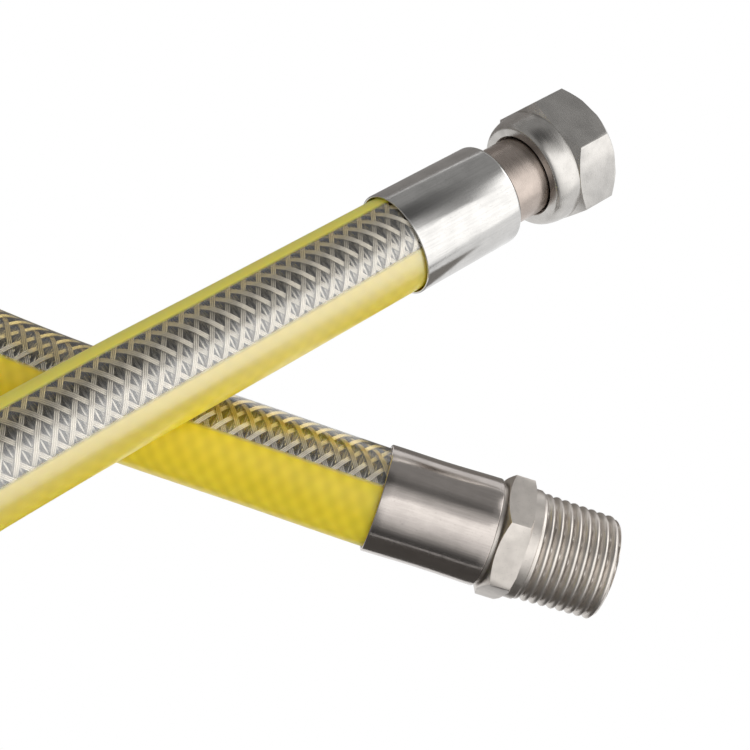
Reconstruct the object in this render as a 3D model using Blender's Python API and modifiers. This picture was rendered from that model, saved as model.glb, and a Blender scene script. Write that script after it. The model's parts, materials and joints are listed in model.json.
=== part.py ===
"""Flexible gas hose, one metre long, lying in a single loop with its two ends crossing.

A corrugated steel tube in a wire braid under a plastic sheath. One end carries a swivel tail
with a loose G 1/2 union nut and its flat washer, the other a fixed R 1/2 nipple with a hexagon.
Each end is closed by a crimped steel ferrule. Metres, +Z up, standing on z = 0.
"""
import math

import bmesh
import bpy
from mathutils import Matrix, Vector

# Clearance between neighbouring pieces
GAP = 0.0003

# Hose
HOSE_DIAMETER = 0.0198
SHEATH_WALL = 0.0013
BRAID_WALL = 0.0005
TUBE_WALL = 0.0005
CORRUGATION_DEPTH = 0.0017
CORRUGATION_PITCH = 0.0030
HOSE_IN_FERRULE = 0.0115
HOSE_POINTS = 72

# Ferrules
FERRULE_WALL = 0.0005
FERRULE_LIP = 0.0002
FERRULE_FLARE = 0.0001
CRIMP_DEPTH = 0.00012
CRIMP_STEPS = 8
NUT_END_FERRULE_LENGTH = 0.0250
FERRULE_SHOULDER_LENGTH = 0.0014
SHOULDER_ARC = 80
THREAD_END_FERRULE_LENGTH = 0.0226

# Spigots in the corrugated tube, and the gas way
SPIGOT_WALL = 0.0008
NUT_END_COLLAR_LENGTH = 0.0038
THREAD_END_COLLAR_LENGTH = 0.0057
SPIGOT_CHAMFER = 0.0003

# Swivel tail
TAIL_DIAMETER = 0.0168
TAIL_EXPOSED = 0.0088
FLANGE_DIAMETER = 0.0184
FLANGE_THICKNESS = 0.0018

# Union nut, G 1/2
NUT_ACROSS_FLATS = 0.0245
NUT_LENGTH = 0.0152
NUT_BACK_WALL = 0.0024
NUT_BACK_FACE_DIAMETER = 0.0210
NUT_COLLAR_DIAMETER = 0.0243
NUT_FRONT_STEP = 0.0003
NUT_DOME_LENGTH = 0.0053
NUT_REAR_CHAMFER = 0.0010
NUT_FRONT_CHAMFER = 0.0016
NUT_THREAD_MINOR = 0.01863
NUT_THREAD_MAJOR = 0.020955
NUT_RELIEF_DIAMETER = 0.0214
NUT_ENTRY_CHAMFER = 0.0012

# Sealing washer
WASHER_DIAMETER = 0.0190
WASHER_HOLE = 0.0120
WASHER_THICKNESS = 0.0020

# Threaded nipple, R 1/2
NIPPLE_ACROSS_FLATS = 0.0220
NIPPLE_HEX_LENGTH = 0.0054
NIPPLE_HEX_REAR_CHAMFER = 0.0011
NIPPLE_HEX_FRONT_CHAMFER = 0.00055
NIPPLE_HEX_FRONT_DROP = 0.0011
NIPPLE_HEX_REAR_DROP = 0.00015
NIPPLE_HEX_GAP = 0.0008
NIPPLE_NECK_DIAMETER = 0.0219
NIPPLE_NECK_LENGTH = 0.0022
NIPPLE_THREAD_LENGTH = 0.0155
NIPPLE_GAUGE_DIAMETER = 0.020955
NIPPLE_GAUGE_LENGTH = 0.0082
NIPPLE_TAPER = 1.0 / 16.0
NIPPLE_TIP_CHAMFER = 0.0007
NIPPLE_BORE = 0.0130

# How the hose lies: both strands leave the crossing towards +X
CROSSING = Vector((-0.0727, -0.0041, 0.0))
STRAND_HALF_ANGLE = math.radians(25.4)
NUT_END_DROP = math.radians(9.6)
NUT_END_HEIGHT = 0.0316
NUT_END_MOUTH = 0.0621
THREAD_END_MOUTH = 0.0502
NUT_TURN = math.radians(18.0)
NIPPLE_TURN = math.radians(-4.0)

# Route of the hose's centre line between its two ends, measured from the crossing
ROUTE = [
    (0.0407, 0.0193, 0.0239), (0.0199, 0.0094, 0.0278), (0.0000, 0.0000, 0.0316),
    (-0.0271, -0.0129, 0.0346), (-0.0578, -0.0275, 0.0343), (-0.0885, -0.0420, 0.0309),
    (-0.1192, -0.0566, 0.0262), (-0.1500, -0.0712, 0.0207), (-0.1812, -0.0846, 0.0156),
    (-0.2144, -0.0915, 0.0117), (-0.2482, -0.0893, 0.0101), (-0.2779, -0.0779, 0.0100),
    (-0.3064, -0.0528, 0.0100), (-0.3224, -0.0185, 0.0100), (-0.3222, 0.0194, 0.0100),
    (-0.3059, 0.0536, 0.0100), (-0.2772, 0.0793, 0.0100), (-0.2412, 0.0920, 0.0100),
    (-0.2030, 0.0921, 0.0100), (-0.1656, 0.0828, 0.0100), (-0.1296, 0.0682, 0.0100),
    (-0.0947, 0.0524, 0.0100), (-0.0604, 0.0357, 0.0100), (-0.0387, 0.0235, 0.0100),
    (-0.0170, 0.0109, 0.0100), (0.0007, 0.0014, 0.0105), (0.0229, -0.0100, 0.0120),
]

# Facets round each turned piece, in each arc and corrugation, and between two points of the route
SEGMENTS = 48
FINE_SEGMENTS = 36
ARC_STEPS = 6
WAVE_STEPS = 8
ROUTE_STEPS = 16
HOSE_ROUND = 4

# Angle in degrees above which an edge is drawn sharp
SHARP_ANGLE = 35

# How far a cutting bar runs past the piece that it cuts
BAR_OVERRUN = 0.002

# Radii and lengths that follow from the sizes above
HOSE_RADIUS = HOSE_DIAMETER / 2
BRAID_RADIUS = HOSE_RADIUS - SHEATH_WALL
TUBE_RADIUS = BRAID_RADIUS - BRAID_WALL - GAP
SPIGOT_RADIUS = TUBE_RADIUS - CORRUGATION_DEPTH - TUBE_WALL - GAP
SPIGOT_BORE_RADIUS = SPIGOT_RADIUS - SPIGOT_WALL
FERRULE_BORE_RADIUS = HOSE_RADIUS + GAP
FERRULE_RADIUS = FERRULE_BORE_RADIUS + FERRULE_WALL
COLLAR_RADIUS = FERRULE_BORE_RADIUS - GAP
TAIL_RADIUS = TAIL_DIAMETER / 2
TAIL_WAY_RADIUS = TAIL_RADIUS + GAP
FLANGE_RADIUS = FLANGE_DIAMETER / 2
NUT_BACK = NUT_END_FERRULE_LENGTH + TAIL_EXPOSED
FLANGE_START = NUT_BACK + NUT_BACK_WALL + GAP
FLANGE_END = FLANGE_START + FLANGE_THICKNESS
WASHER_START = FLANGE_END + GAP
WASHER_END = WASHER_START + WASHER_THICKNESS
STRIPPED_START = HOSE_IN_FERRULE + GAP
NUT_END_COLLAR_END = NUT_END_FERRULE_LENGTH - FERRULE_SHOULDER_LENGTH - GAP
NUT_END_COLLAR_START = NUT_END_COLLAR_END - NUT_END_COLLAR_LENGTH
HEX_START = THREAD_END_FERRULE_LENGTH + NIPPLE_HEX_GAP
THREAD_END_COLLAR_START = THREAD_END_FERRULE_LENGTH - THREAD_END_COLLAR_LENGTH


def corner_radius(across_flats):
    return across_flats / math.sqrt(3)


def collection(name):
    made = bpy.data.collections.new(name)
    bpy.context.scene.collection.children.link(made)
    return made


def material(name, colour, roughness, metallic):
    made = bpy.data.materials.new(name)
    made.use_nodes = True
    shader = made.node_tree.nodes["Principled BSDF"]
    shader.inputs["Base Color"].default_value = (*colour, 1.0)
    shader.inputs["Roughness"].default_value = roughness
    shader.inputs["Metallic"].default_value = metallic
    made.diffuse_color = (*colour, 1.0)
    return made


def arc(centre, radii, start, end, steps=ARC_STEPS):
    """Points (radius, height) on a quarter or part of an ellipse, from start to end in degrees."""
    points = []
    for i in range(steps + 1):
        angle = math.radians(start + (end - start) * i / steps)
        points.append((centre[0] + radii[0] * math.cos(angle), centre[1] + radii[1] * math.sin(angle)))
    return points


def turned(name, outside, inside, group, segments=SEGMENTS):
    """A turned ring: outside and inside are (radius, height) profiles, both from bottom to top."""
    profile = list(reversed(outside)) + list(inside)
    mesh = bpy.data.meshes.new(name)
    edges = [(i, (i + 1) % len(profile)) for i in range(len(profile))]
    mesh.from_pydata([(radius, 0.0, height) for radius, height in profile], edges, [])
    piece = bpy.data.objects.new(name, mesh)
    group.objects.link(piece)
    screw = piece.modifiers.new("turn", "SCREW")
    screw.angle = math.tau
    screw.steps = segments
    screw.render_steps = segments
    screw.use_merge_vertices = True
    screw.merge_threshold = 0.00001
    return piece


def baked(piece):
    """Replaces a piece's mesh by its evaluated one, so that it can be shaded and cut."""
    bpy.context.view_layer.update()
    graph = bpy.context.evaluated_depsgraph_get()
    mesh = bpy.data.meshes.new_from_object(piece.evaluated_get(graph))
    piece.modifiers.clear()
    piece.data = mesh
    mesh.name = piece.name
    return piece


def smooth(piece):
    piece.data.shade_smooth()
    piece.data.set_sharp_from_angle(angle=math.radians(SHARP_ANGLE))


def hex_cutter(name, across_flats, length, turn, group):
    """A hexagonal bar on +Z, longer than the piece at both ends, with a corner turned from +X."""
    mesh = bpy.data.meshes.new(name)
    bm = bmesh.new()
    radius = corner_radius(across_flats)
    bmesh.ops.create_cone(bm, cap_ends=True, segments=6, radius1=radius, radius2=radius,
                          depth=length + 2 * BAR_OVERRUN,
                          matrix=Matrix.Translation((0, 0, length / 2)))
    first = max(bm.verts, key=lambda v: v.co.x + v.co.y / 1000)
    start_angle = math.atan2(first.co.y, first.co.x)
    bmesh.ops.rotate(bm, verts=bm.verts, matrix=Matrix.Rotation(turn - start_angle, 3, "Z"))
    bm.to_mesh(mesh)
    bm.free()
    cutter = bpy.data.objects.new(name, mesh)
    cutter.hide_render = True
    cutter.display_type = "WIRE"
    group.objects.link(cutter)
    return cutter


def strand_frame(heading, drop, height, mouth):
    """Matrix at a ferrule's mouth, +Z along the strand away from the crossing, +X nearest to up."""
    along = Vector((math.cos(drop) * math.cos(heading), math.cos(drop) * math.sin(heading),
                    -math.sin(drop)))
    up = (Vector((0, 0, 1)) - along.z * along).normalized()
    side = along.cross(up)
    frame = Matrix((up, side, along)).transposed().to_4x4()
    frame.translation = CROSSING + Vector((0, 0, height)) + along * mouth
    return frame


def shell_shoulder(radius, end_radius, start, length):
    """The rounded shoulder with which the nut end ferrule closes onto the tail."""
    return arc((end_radius, start), (radius - end_radius, length), 0, SHOULDER_ARC)


def corrugated_profile(start, end, radius):
    """A run of rounded corrugations whose crests lie on the given radius."""
    count = max(1, round((end - start) / CORRUGATION_PITCH))
    steps = count * WAVE_STEPS
    points = []
    for i in range(steps + 1):
        wave = (1 - math.cos(math.tau * count * i / steps)) / 2
        points.append((radius - CORRUGATION_DEPTH * wave, start + (end - start) * i / steps))
    return points


def nut_end_ferrule(group):
    shoulder = NUT_END_FERRULE_LENGTH - FERRULE_SHOULDER_LENGTH
    outside = [(FERRULE_RADIUS - FERRULE_LIP, 0.0), (FERRULE_RADIUS, FERRULE_LIP)]
    outside += shell_shoulder(FERRULE_RADIUS, TAIL_WAY_RADIUS, shoulder, FERRULE_SHOULDER_LENGTH)
    outside += [(TAIL_WAY_RADIUS, NUT_END_FERRULE_LENGTH)]
    inside = [(FERRULE_BORE_RADIUS, 0.0)]
    inside += shell_shoulder(FERRULE_BORE_RADIUS, TAIL_WAY_RADIUS, shoulder,
                             FERRULE_SHOULDER_LENGTH - FERRULE_WALL)
    inside += [(TAIL_WAY_RADIUS, NUT_END_FERRULE_LENGTH - FERRULE_WALL)]
    return turned("nut_end_ferrule", outside, inside, group)


def thread_end_ferrule(group):
    length = THREAD_END_FERRULE_LENGTH
    outside = [(FERRULE_RADIUS - FERRULE_LIP, 0.0), (FERRULE_RADIUS, FERRULE_LIP)]
    for i in range(1, CRIMP_STEPS):
        share = i / CRIMP_STEPS
        waist = CRIMP_DEPTH * math.sin(math.pi * share) ** 2
        outside.append((FERRULE_RADIUS - waist + FERRULE_FLARE * share, length * share))
    outside += [(FERRULE_RADIUS + FERRULE_FLARE, length - FERRULE_LIP),
                (FERRULE_RADIUS - FERRULE_FLARE, length)]
    inside = [(FERRULE_BORE_RADIUS, 0.0), (FERRULE_BORE_RADIUS, length)]
    return turned("thread_end_ferrule", outside, inside, group)


def stripped_tube(name, end, group):
    """The end of the corrugated tube, pushed over a spigot up to its collar."""
    outside = corrugated_profile(STRIPPED_START, end, TUBE_RADIUS)
    inside = corrugated_profile(STRIPPED_START, end, TUBE_RADIUS - TUBE_WALL)
    return turned(name, outside, inside, group, FINE_SEGMENTS)


def stripped_braid(name, end, group):
    """The end of the wire braid, lying on the corrugations."""
    inner = BRAID_RADIUS - BRAID_WALL
    outside = [(BRAID_RADIUS, STRIPPED_START), (BRAID_RADIUS, end)]
    inside = [(inner, STRIPPED_START), (inner, end)]
    return turned(name, outside, inside, group, FINE_SEGMENTS)


def swivel_tail(group):
    """Spigot, collar, tail and flange in one turned piece, bored through."""
    spigot_start = STRIPPED_START + GAP
    outside = [
        (SPIGOT_RADIUS - SPIGOT_CHAMFER, spigot_start), (SPIGOT_RADIUS, spigot_start + SPIGOT_CHAMFER),
        (SPIGOT_RADIUS, NUT_END_COLLAR_START), (COLLAR_RADIUS, NUT_END_COLLAR_START),
        (COLLAR_RADIUS, NUT_END_COLLAR_END), (TAIL_RADIUS, NUT_END_COLLAR_END),
        (TAIL_RADIUS, FLANGE_START), (FLANGE_RADIUS, FLANGE_START), (FLANGE_RADIUS, FLANGE_END)]
    inside = [(SPIGOT_BORE_RADIUS, spigot_start), (SPIGOT_BORE_RADIUS, NUT_END_COLLAR_END),
              (WASHER_HOLE / 2, NUT_END_COLLAR_END + WASHER_HOLE / 2 - SPIGOT_BORE_RADIUS),
              (WASHER_HOLE / 2, FLANGE_END)]
    return turned("swivel_tail", outside, inside, group)


def union_nut(group, cutters):
    """The nut on its own origin: back face at z = 0, open end at z = NUT_LENGTH."""
    corner = corner_radius(NUT_ACROSS_FLATS)
    collar = NUT_COLLAR_DIAMETER / 2
    back = NUT_BACK_FACE_DIAMETER / 2
    front = collar + NUT_FRONT_STEP
    outside = list(reversed(arc((back, NUT_DOME_LENGTH), (collar - back, -NUT_DOME_LENGTH), 0, 90)))
    outside += [(corner, NUT_DOME_LENGTH + NUT_REAR_CHAMFER),
                (corner, NUT_LENGTH - NUT_FRONT_CHAMFER), (front, NUT_LENGTH)]
    thread_start = WASHER_END - NUT_BACK + GAP + (WASHER_DIAMETER - NUT_THREAD_MINOR) / 2
    relief_end = thread_start - (NUT_RELIEF_DIAMETER - NUT_THREAD_MINOR) / 2
    entry = NUT_THREAD_MAJOR / 2 + GAP
    inside = [(TAIL_WAY_RADIUS, 0.0), (TAIL_WAY_RADIUS, NUT_BACK_WALL),
              (NUT_RELIEF_DIAMETER / 2, NUT_BACK_WALL), (NUT_RELIEF_DIAMETER / 2, relief_end),
              (NUT_THREAD_MINOR / 2, thread_start), (NUT_THREAD_MINOR / 2, NUT_LENGTH - NUT_ENTRY_CHAMFER),
              (entry, NUT_LENGTH)]
    nut = baked(turned("union_nut", outside, inside, group))
    cut(nut, hex_cutter("union_nut_hexagon", NUT_ACROSS_FLATS, NUT_LENGTH, NUT_TURN, cutters))
    return nut


def threaded_nipple(group, cutters):
    """Spigot, collar, hexagon, neck and tapered nipple in one turned piece, bored through."""
    corner = corner_radius(NIPPLE_ACROSS_FLATS)
    spigot_start = STRIPPED_START + GAP
    hex_end = HEX_START + NIPPLE_HEX_LENGTH
    thread_start = hex_end + NIPPLE_NECK_LENGTH
    tip = thread_start + NIPPLE_THREAD_LENGTH
    neck = NIPPLE_NECK_DIAMETER / 2

    def crest(height):
        return (NIPPLE_GAUGE_DIAMETER + (tip - NIPPLE_GAUGE_LENGTH - height) * NIPPLE_TAPER) / 2

    small_end = tip - NIPPLE_TIP_CHAMFER
    hex_rear = NIPPLE_ACROSS_FLATS / 2 - NIPPLE_HEX_REAR_DROP
    hex_front = corner - NIPPLE_HEX_FRONT_DROP
    outside = [
        (SPIGOT_RADIUS - SPIGOT_CHAMFER, spigot_start), (SPIGOT_RADIUS, spigot_start + SPIGOT_CHAMFER),
        (SPIGOT_RADIUS, THREAD_END_COLLAR_START), (COLLAR_RADIUS, THREAD_END_COLLAR_START),
        (COLLAR_RADIUS, HEX_START), (hex_rear, HEX_START),
        (corner, HEX_START + NIPPLE_HEX_REAR_CHAMFER), (corner, hex_end - NIPPLE_HEX_FRONT_CHAMFER),
        (hex_front, hex_end), (neck, hex_end),
        (neck, thread_start - GAP), (crest(thread_start), thread_start), (crest(small_end), small_end),
        (crest(tip) - NIPPLE_TIP_CHAMFER, tip)]
    bore_start = hex_end - (NIPPLE_BORE / 2 - SPIGOT_BORE_RADIUS)
    inside = [(SPIGOT_BORE_RADIUS, spigot_start), (SPIGOT_BORE_RADIUS, bore_start),
              (NIPPLE_BORE / 2, hex_end), (NIPPLE_BORE / 2, tip)]
    nipple = baked(turned("threaded_nipple", outside, inside, group))
    cut(nipple, hex_cutter("nipple_hexagon", NIPPLE_ACROSS_FLATS, tip, NIPPLE_TURN, cutters))
    return nipple


def cut(piece, bar):
    """Keeps what of the piece lies inside the bar. The bar then moves with the piece."""
    keep = piece.modifiers.new("flats", "BOOLEAN")
    keep.operation = "INTERSECT"
    keep.solver = "EXACT"
    keep.object = bar
    bar.parent = piece


def sealing_washer(group):
    outside = [(WASHER_DIAMETER / 2, WASHER_START), (WASHER_DIAMETER / 2, WASHER_END)]
    inside = [(WASHER_HOLE / 2, WASHER_START), (WASHER_HOLE / 2, WASHER_END)]
    return turned("sealing_washer", outside, inside, group)


def smooth_curve(points, count):
    """Reads count points, evenly spaced, from a smooth curve through the given points."""
    ends = [2 * points[0] - points[1]] + points + [2 * points[-1] - points[-2]]
    fine = []
    for i in range(1, len(ends) - 2):
        p0, p1, p2, p3 = ends[i - 1:i + 3]
        m1 = (p2 - p0) * ((p2 - p1).length / ((p2 - p1).length + (p1 - p0).length))
        m2 = (p3 - p1) * ((p2 - p1).length / ((p3 - p2).length + (p2 - p1).length))
        for step in range(ROUTE_STEPS):
            t = step / ROUTE_STEPS
            fine.append((2 * t**3 - 3 * t**2 + 1) * p1 + (t**3 - 2 * t**2 + t) * m1
                        + (3 * t**2 - 2 * t**3) * p2 + (t**3 - t**2) * m2)
    fine.append(points[-1].copy())
    lengths = [0.0]
    for a, b in zip(fine, fine[1:]):
        lengths.append(lengths[-1] + (b - a).length)
    read = []
    place = 0
    for i in range(count):
        target = lengths[-1] * i / (count - 1)
        while place < len(fine) - 2 and lengths[place + 1] < target:
            place += 1
        share = (target - lengths[place]) / (lengths[place + 1] - lengths[place])
        read.append(fine[place].lerp(fine[place + 1], min(1.0, share)))
    return read


def hose(group, nut_end, thread_end):
    """The hose as one plain tube from inside one ferrule to inside the other."""
    depths = (HOSE_IN_FERRULE, 0.0)
    points = [nut_end @ Vector((0, 0, depth)) for depth in depths]
    points += [CROSSING + Vector(point) for point in ROUTE]
    points += [thread_end @ Vector((0, 0, depth)) for depth in reversed(depths)]
    curve = bpy.data.curves.new("hose", "CURVE")
    curve.dimensions = "3D"
    curve.bevel_depth = HOSE_RADIUS
    curve.bevel_resolution = HOSE_ROUND
    curve.use_fill_caps = True
    spline = curve.splines.new("POLY")
    read = smooth_curve(points, HOSE_POINTS)
    spline.points.add(len(read) - 1)
    for point, place in zip(spline.points, read):
        point.co = (*place, 1.0)
    piece = bpy.data.objects.new("hose", curve)
    group.objects.link(piece)
    return piece


def main():
    for old in list(bpy.data.objects):
        bpy.data.objects.remove(old, do_unlink=True)
    parts = collection("flexible_gas_hose")
    cutters = collection("cutters")

    steel = material("turned_steel", (0.62, 0.60, 0.57), 0.25, 1.0)
    pressed = material("pressed_steel", (0.72, 0.71, 0.69), 0.22, 1.0)
    wire = material("steel_wire", (0.55, 0.54, 0.52), 0.35, 1.0)
    thin = material("corrugated_steel", (0.66, 0.64, 0.60), 0.30, 1.0)
    sheath = material("yellow_sheath", (0.86, 0.72, 0.05), 0.20, 0.0)
    fibre = material("washer_fibre", (0.20, 0.30, 0.22), 0.70, 0.0)

    nut_end = strand_frame(STRAND_HALF_ANGLE, NUT_END_DROP, NUT_END_HEIGHT, NUT_END_MOUTH)
    thread_end_height = corner_radius(NIPPLE_ACROSS_FLATS)
    thread_end = strand_frame(-STRAND_HALF_ANGLE, 0.0, thread_end_height, THREAD_END_MOUTH)

    stripped_nut = NUT_END_COLLAR_START - GAP
    stripped_thread = THREAD_END_COLLAR_START - GAP
    placed = [
        (nut_end_ferrule(parts), nut_end, pressed),
        (stripped_tube("nut_end_corrugated_tube", stripped_nut, parts), nut_end, thin),
        (stripped_braid("nut_end_braid", stripped_nut, parts), nut_end, wire),
        (swivel_tail(parts), nut_end, steel),
        (union_nut(parts, cutters), nut_end @ Matrix.Translation((0, 0, NUT_BACK)), steel),
        (sealing_washer(parts), nut_end, fibre),
        (thread_end_ferrule(parts), thread_end, pressed),
        (stripped_tube("thread_end_corrugated_tube", stripped_thread, parts), thread_end, thin),
        (stripped_braid("thread_end_braid", stripped_thread, parts), thread_end, wire),
        (threaded_nipple(parts, cutters), thread_end, steel),
    ]
    for piece, place, finish in placed:
        baked(piece)
        piece.matrix_world = place
        piece.data.materials.clear()
        piece.data.materials.append(finish)
        smooth(piece)
    tube = hose(parts, nut_end, thread_end)
    tube.data.materials.append(sheath)
    bpy.context.view_layer.update()


main()
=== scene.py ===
"""Looks of the flexible gas hose: sheath, wire braid, corrugated tube, ferrules and fittings.

The hose follows the route of the CAD model. The braid lies close under the clear side of the
sheath, because clear plastic on a round magnifies what it covers. Lengths are in metres, and a
distance along the hose starts at its end in the nut end's ferrule.
"""
import json
import math

import bmesh
import bpy
import numpy as np
from mathutils import Matrix, Vector

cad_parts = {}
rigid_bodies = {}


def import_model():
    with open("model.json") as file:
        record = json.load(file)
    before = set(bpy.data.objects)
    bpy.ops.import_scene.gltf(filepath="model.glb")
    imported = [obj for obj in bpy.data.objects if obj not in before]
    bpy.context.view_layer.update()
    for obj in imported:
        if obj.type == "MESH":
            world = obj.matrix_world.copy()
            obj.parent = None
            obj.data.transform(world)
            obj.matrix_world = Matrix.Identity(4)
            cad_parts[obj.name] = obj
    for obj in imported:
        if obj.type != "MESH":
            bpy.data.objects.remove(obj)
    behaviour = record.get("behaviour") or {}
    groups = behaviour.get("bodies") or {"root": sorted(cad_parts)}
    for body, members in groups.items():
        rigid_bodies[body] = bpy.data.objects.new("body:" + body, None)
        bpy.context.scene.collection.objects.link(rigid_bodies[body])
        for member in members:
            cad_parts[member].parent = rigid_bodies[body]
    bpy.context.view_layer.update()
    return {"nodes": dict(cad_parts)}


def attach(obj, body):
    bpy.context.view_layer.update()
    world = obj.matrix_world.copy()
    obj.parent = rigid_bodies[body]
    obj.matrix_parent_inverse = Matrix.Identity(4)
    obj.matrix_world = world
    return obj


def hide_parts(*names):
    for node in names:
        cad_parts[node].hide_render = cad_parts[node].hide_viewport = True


bl_info = {
    "name": "Flexible gas hose",
    "version": (1, 0, 0),
    "blender": (4, 5, 0),
    "location": "3D View > Sidebar > Gas hose",
    "description": "Dresses the flexible gas hose and sets up its studio",
    "category": "Object",
}

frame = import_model()

# How the hose lies, as in the part's source
CROSSING = Vector((-0.0727, -0.0041, 0.0))
STRAND_HALF_ANGLE = math.radians(25.4)
NUT_END_DROP = math.radians(9.6)
NUT_END_HEIGHT = 0.0316
NUT_END_MOUTH = 0.0621
THREAD_END_MOUTH = 0.0502
HOSE_IN_FERRULE = 0.0115
ROUTE = [
    (0.0407, 0.0193, 0.0239), (0.0199, 0.0094, 0.0278), (0.0000, 0.0000, 0.0316),
    (-0.0271, -0.0129, 0.0346), (-0.0578, -0.0275, 0.0343), (-0.0885, -0.0420, 0.0309),
    (-0.1192, -0.0566, 0.0262), (-0.1500, -0.0712, 0.0207), (-0.1812, -0.0846, 0.0156),
    (-0.2144, -0.0915, 0.0117), (-0.2482, -0.0893, 0.0101), (-0.2779, -0.0779, 0.0100),
    (-0.3064, -0.0528, 0.0100), (-0.3224, -0.0185, 0.0100), (-0.3222, 0.0194, 0.0100),
    (-0.3059, 0.0536, 0.0100), (-0.2772, 0.0793, 0.0100), (-0.2412, 0.0920, 0.0100),
    (-0.2030, 0.0921, 0.0100), (-0.1656, 0.0828, 0.0100), (-0.1296, 0.0682, 0.0100),
    (-0.0947, 0.0524, 0.0100), (-0.0604, 0.0357, 0.0100), (-0.0387, 0.0235, 0.0100),
    (-0.0170, 0.0109, 0.0100), (0.0007, 0.0014, 0.0105), (0.0229, -0.0100, 0.0120),
]

# Lengths from each ferrule's mouth, as in the part's source
NUT_BACK = 0.0338
FLANGE_START = 0.0365
FLANGE_END = 0.0383
WASHER_START = 0.0386
WASHER_END = 0.0406
NUT_END_COLLAR = (0.0195, 0.0233)
THREAD_END_COLLAR_START = 0.0169
HEX_START = 0.0234
SPIGOT_START = 0.0121
NECK_LENGTH = 0.0022
NIPPLE_THREAD_LENGTH = 0.0155
NUT_TURN = math.radians(18.0)
NIPPLE_TURN = math.radians(-4.0)

# The pipe thread: diameter at the gauge plane, that plane's distance from the tip, the taper and
# the smallest diameter of the inside thread
GAUGE_DIAMETER = 0.020955
GAUGE_LENGTH = 0.0082
TAPER = 1 / 16
INSIDE_THREAD_DIAMETER = 0.01863

# The camera: where it stands, where it looks and how it is rolled
CAMERA_ELEVATION = math.radians(74.226)
CAMERA_HEADING = math.radians(-33.716)
CAMERA_ROLL = math.radians(25.738)
CAMERA_DISTANCE = 0.242514
CAMERA_TARGET = Vector((0.039173, 0.032906, 0.0))
CAMERA_LENS = 55.23
CAMERA_SENSOR = 36.0

# Edges of the softbox: a direction across it, from the camera's right, up and back, and where its
# light begins and is full, as sines of the angle past the edge
SOFTBOX_EDGES = [
    ((0.966, 0.0, 0.259), (-0.10, 0.15)),
    ((0.283, -0.951, 0.124), (-0.09, 0.01)),
    ((0.800, 0.350, 0.490), (-0.30, 0.80)),
]

# Glows outside the softbox, near the camera's line and far to the right: the middle of each, how it
# falls off and its strength
GLOWS = [
    ((0.24, 0.22, 0.95), (0.86, 0.995), 0.6),
    ((0.87, 0.46, 0.15), (0.86, 0.97), 2.0),
]

# Dark parts of the studio, beyond the threaded end and above the camera: the middle of each, how it
# falls off and how much of the grey it takes
SHADES = [
    ((-0.25, -0.95, 0.10), (0.72, 0.97), 0.8),
    ((-0.04, 0.65, 0.75), (0.80, 0.975), 0.72),
]

WHITE = (1.0, 1.0, 1.0)
FLOOR_SIZE = 8.0
FLOOR_HEIGHT = -0.0002

# Grey cards that lie on the floor beside the strands: which strand, 1 for the nut end and -1 for
# the thread end, where they begin and end across it and along it, from its axis and from the
# crossing, and their grey
CARDS = {
    "card_beside_nut_end": (1, (0.020, 0.520), (-0.20, 0.30), (0.30, 0.285, 0.275)),
    "card_beside_thread_end": (-1, (0.018, 0.518), (-0.20, 0.30), (0.10, 0.095, 0.09)),
    "card_between_strands": (-1, (-0.040, -0.0112), (0.045, 0.110), (0.25, 0.235, 0.22)),
}

# Where the braid and the clear window are set against the photograph, as distances along the hose
NUT_END_STATION = 0.070
THREAD_END_STATION = 0.880

# How the hose's line is read: its points, the steps between two points of the route, and the length
# that its directions are smoothed over
LINE_POINTS = 2400
CURVE_STEPS = 16
SMOOTHED_LENGTH = 0.004

# The braid's pitch is exact this near to the two set crossings, and the loop takes up the rest
EXACT_PITCH_REACH = 0.15
# The stretch out of the camera's view, whose braid is made with fewer points
LOOP = (0.215, 0.790)
# Heights across one wire, in widths of a wire, and a bundle's flat underside: its share of the
# bundle's width, and its height in widths of a wire
WIRE_HEIGHTS = (-0.15, 0.50, 0.75, 0.50)
UNDERSIDE = (0.9, -0.45)
# How steeply a bundle rises and dips between crossings
WAVE_STEEPNESS = 1.25
# Painted shade: how dark a wire is painted in each groove, on its back and where its bundle runs under
# another
GROOVE_PAINTED_SHADE = 0.80
RIDGE_PAINTED_SHADE = 0.08
UNDER_PAINTED_SHADE = 0.22

# The stretch of the loop where the nut end's tint turns into the thread end's
TINT_CHANGE = (0.3, 0.6)
# Where the golden tint begins and is full, and where the broader one of the thread end begins, is
# full, begins to end and ends, in half widths of the window from its middle, up the picture
TINT_EDGE = (0.30, 0.90)
BROAD_TINT = (-0.65, -0.35, 0.8, 1.0)
# Where the painted light on the top yellow edge begins, up the picture, and where the clear skin
# over the yellow thins out, down the picture
PAINTED_LIGHT_EDGE_START = 0.9
SKIN_FADE = (1.467, 2.8)

# How finely the pieces are divided
SHEATH_RINGS = 460
SHEATH_COLUMNS = 72
TUBE_RINGS_A_PITCH = 10
TUBE_COLUMNS = 24
TURNED_SEGMENTS = 128
WASHER_SEGMENTS = 96
NUT_THREAD_RINGS = 60
NIPPLE_THREAD_RINGS = 110
# How far the bar that gives a piece its flats reaches past the piece's ends
BAR_SPARE = 0.002
# Faces that meet at less than this are shaded as one
SMOOTH_ANGLE = math.radians(32)


def length_property(name, description, default, **more):
    """A length in metres that a user can change."""
    return bpy.props.FloatProperty(
        name=name, description=description, default=default, unit="LENGTH", **more)


def angle_property(name, description, degrees):
    """An angle that a user can change."""
    return bpy.props.FloatProperty(
        name=name, description=description, default=math.radians(degrees), subtype="ANGLE")


def colour_property(name, description, default):
    """A colour that a user can change."""
    return bpy.props.FloatVectorProperty(
        name=name, description=description, default=default, subtype="COLOR")


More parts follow.
